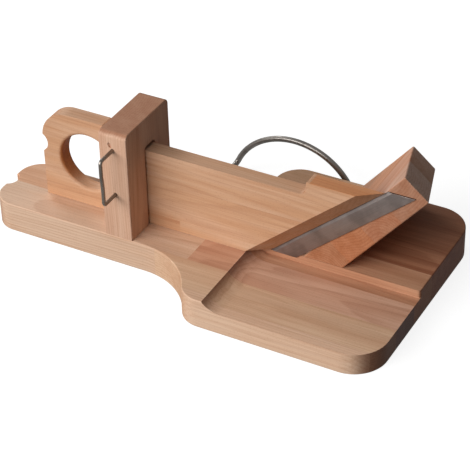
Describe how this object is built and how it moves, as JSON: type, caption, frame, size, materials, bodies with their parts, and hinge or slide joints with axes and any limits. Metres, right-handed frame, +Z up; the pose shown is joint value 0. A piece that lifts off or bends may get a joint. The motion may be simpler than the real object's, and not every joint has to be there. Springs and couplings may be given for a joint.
{
  "type": "sausage guillotine",
  "caption": "Beech cutting board with a slicing tray, a slider that runs through an arch against a slanted fixed blade, a wire hoop at the back and a cap opener wire on the arch.",
  "frame": {"origin": "middle of the board's underside, on the surface that it stands on", "axes": "+X along the board from the slider's grip to the tray's open end, +Y from the tray's side to the back, +Z up"},
  "size_m": [0.3688, 0.2066, 0.1241],
  "materials": {
    "beech_board": "oiled beech, matte",
    "beech_arch": "oiled beech, matte",
    "beech_slider": "oiled beech, matte",
    "beech_rest": "oiled beech, matte",
    "blade_steel": "ground steel",
    "wire_steel": "drawn steel wire",
    "screw_steel": "zinc plated"
  },
  "bodies": {
    "base": {"board_stave_1": "beech_board", "board_stave_2": "beech_board", "board_stave_3": "beech_board", "board_stave_4": "beech_board", "board_stave_5": "beech_board", "board_stave_6": "beech_board", "board_stave_7": "beech_board", "arch": "beech_arch", "arch_screw_front": "screw_steel", "arch_screw_back": "screw_steel", "cap_opener": "wire_steel", "blade": "blade_steel", "blade_rest_stave_1": "beech_rest", "blade_rest_stave_2": "beech_rest", "blade_rest_stave_3": "beech_rest", "blade_rest_stave_4": "beech_rest", "blade_rest_screw_front": "screw_steel", "blade_rest_screw_back": "screw_steel", "hoop": "wire_steel"},
    "slider": {"slider_lower_stave": "beech_slider", "slider_middle_stave": "beech_slider", "slider_upper_stave": "beech_slider"}
  },
  "joints": [
    {"name": "slider_slide", "type": "slide", "parent": "base", "child": "slider", "axis": [1, 0, 0], "range_m": [-0.086, 0.013]}
  ]
}
